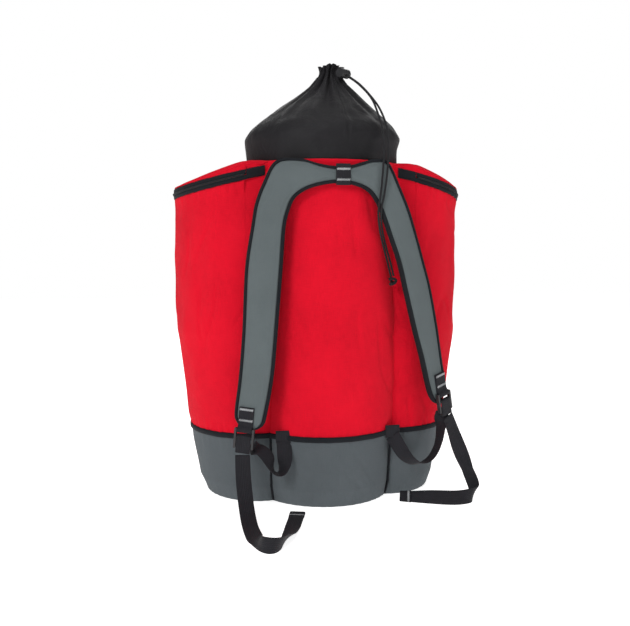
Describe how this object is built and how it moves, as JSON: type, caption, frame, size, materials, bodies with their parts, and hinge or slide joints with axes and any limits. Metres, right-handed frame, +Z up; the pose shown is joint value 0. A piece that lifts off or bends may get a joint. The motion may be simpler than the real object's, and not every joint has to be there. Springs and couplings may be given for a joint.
{
  "type": "equipment backpack",
  "caption": "Tall three-lobed equipment backpack with a cinched top collar, zipped side pockets, a tough lower boot and a padded webbing harness.",
  "frame": {"origin": "on the floor, under the middle of the two side pockets", "axes": "+Z up, harness (the side worn against the back) faces -Y, left pocket at -X"},
  "size_m": [0.523, 0.4916, 0.76],
  "materials": {
    "red_fabric": "fine plain-weave coated nylon, satin",
    "grey_boot_fabric": "coarse ballistic weave, matt",
    "black_collar_fabric": "thin ripstop nylon, slight sheen",
    "black_binding": "grosgrain binding tape, matt",
    "zip_coil": "moulded nylon coil",
    "zip_metal": "black enamel",
    "grey_pad_fabric": "plain-weave polyester, matt",
    "pad_mesh": "knitted spacer mesh",
    "foam": "closed-cell foam",
    "black_webbing": "25 mm polypropylene webbing",
    "black_acetal": "fine-grained acetal",
    "spring_steel": "bright wire",
    "black_cord": "braided polyester cord"
  },
  "bodies": {
    "bag": {"main_compartment": "red_fabric", "main_boot": "grey_boot_fabric", "left_pocket": "red_fabric", "right_pocket": "red_fabric", "left_boot": "grey_boot_fabric", "right_boot": "grey_boot_fabric", "base_panel": "grey_boot_fabric", "seam_binding": "black_binding", "collar": "black_collar_fabric", "left_zip_tape_lower": "black_binding", "right_zip_tape_lower": "black_binding", "left_zip_coil_lower": "zip_coil", "right_zip_coil_lower": "zip_coil", "yoke_foam": "foam", "yoke_face": "grey_pad_fabric", "yoke_mesh": "pad_mesh", "yoke_binding": "black_binding", "yoke_webbing": "black_webbing", "left_web_anchor": "black_webbing", "right_web_anchor": "black_webbing", "left_web_slack": "black_webbing", "right_web_slack": "black_webbing", "drawcord_a": "black_cord", "drawcord_b": "black_cord", "drawcord_knot": "black_cord"},
    "cord_lock": {"cord_lock_body": "black_acetal", "cord_lock_spring": "spring_steel"},
    "lock_button": {"cord_lock_button": "black_acetal"},
    "left_lid": {"left_lid_panel": "red_fabric", "left_zip_tape_upper": "black_binding", "left_zip_coil_upper": "zip_coil"},
    "left_slider": {"left_zip_slider": "zip_metal"},
    "left_puller": {"left_zip_puller": "zip_metal"},
    "left_strap": {"left_strap_foam": "foam", "left_strap_face": "grey_pad_fabric", "left_strap_mesh": "pad_mesh", "left_strap_binding": "black_binding", "left_end_webbing": "black_webbing"},
    "left_buckle": {"left_ladder_lock": "black_acetal", "left_web_thread": "black_webbing", "left_web_tail": "black_webbing", "left_web_hem": "black_webbing"},
    "right_lid": {"right_lid_panel": "red_fabric", "right_zip_tape_upper": "black_binding", "right_zip_coil_upper": "zip_coil"},
    "right_slider": {"right_zip_slider": "zip_metal"},
    "right_puller": {"right_zip_puller": "zip_metal"},
    "right_strap": {"right_strap_foam": "foam", "right_strap_face": "grey_pad_fabric", "right_strap_mesh": "pad_mesh", "right_strap_binding": "black_binding", "right_end_webbing": "black_webbing"},
    "right_buckle": {"right_ladder_lock": "black_acetal", "right_web_thread": "black_webbing", "right_web_tail": "black_webbing", "right_web_hem": "black_webbing"}
  },
  "joints": [
    {"name": "left_lid_fold", "type": "hinge", "parent": "bag", "child": "left_lid", "pos_m": [-0.145, 0, 0.588], "axis": [0, 1, 0], "range_deg": [0, 100]},
    {"name": "left_zip_run", "type": "hinge", "parent": "bag", "child": "left_slider", "pos_m": [-0.1334, 0, 0.5583], "axis": [-0.2284, 0, 0.9736], "range_deg": [0, 160]},
    {"name": "left_puller_swing", "type": "hinge", "parent": "left_slider", "child": "left_puller", "pos_m": [-0.15662, 0.13526, 0.55285], "axis": [-0.2284, 0, 0.9736], "range_deg": [0, 150]},
    {"name": "left_strap_swing", "type": "hinge", "parent": "bag", "child": "left_strap", "pos_m": [-0.116, -0.1737, 0.478], "axis": [-0.9584, 0.2853, 0], "range_deg": [0, 20], "deforming": ["left_web_slack", "left_web_tail"]},
    {"name": "left_buckle_tilt", "type": "hinge", "parent": "left_strap", "child": "left_buckle", "pos_m": [-0.15387, -0.16496, 0.1381], "axis": [-0.9181, 0.3866, 0.0872], "range_deg": [0, 30], "deforming": ["left_web_slack", "left_web_tail"]},
    {"name": "right_lid_fold", "type": "hinge", "parent": "bag", "child": "right_lid", "pos_m": [0.145, 0, 0.588], "axis": [0, -1, 0], "range_deg": [0, 100]},
    {"name": "right_zip_run", "type": "hinge", "parent": "bag", "child": "right_slider", "pos_m": [0.1334, 0, 0.5583], "axis": [-0.2284, 0, -0.9736], "range_deg": [0, 160]},
    {"name": "right_puller_swing", "type": "hinge", "parent": "right_slider", "child": "right_puller", "pos_m": [0.15662, 0.13526, 0.55285], "axis": [-0.2284, 0, -0.9736], "range_deg": [0, 150]},
    {"name": "right_strap_swing", "type": "hinge", "parent": "bag", "child": "right_strap", "pos_m": [0.103, -0.1773, 0.478], "axis": [-0.9685, -0.249, 0], "range_deg": [0, 20], "deforming": ["right_web_slack", "right_web_tail"]},
    {"name": "right_buckle_tilt", "type": "hinge", "parent": "right_strap", "child": "right_buckle", "pos_m": [0.19301, -0.14441, 0.18257], "axis": [-0.8349, -0.5096, -0.2079], "range_deg": [0, 30], "deforming": ["right_web_slack", "right_web_tail"]},
    {"name": "cord_lock_slide", "type": "slide", "parent": "bag", "child": "cord_lock", "axis": [0.5079, -0.6543, -0.5603], "range_m": [0, 0.015]},
    {"name": "lock_button_press", "type": "slide", "parent": "cord_lock", "child": "lock_button", "axis": [-0.79, -0.6131, 0], "range_m": [0, 0.003], "stiffness_N_per_m": 300, "springref_m": -0.003, "deforming": ["cord_lock_spring"]}
  ]
}
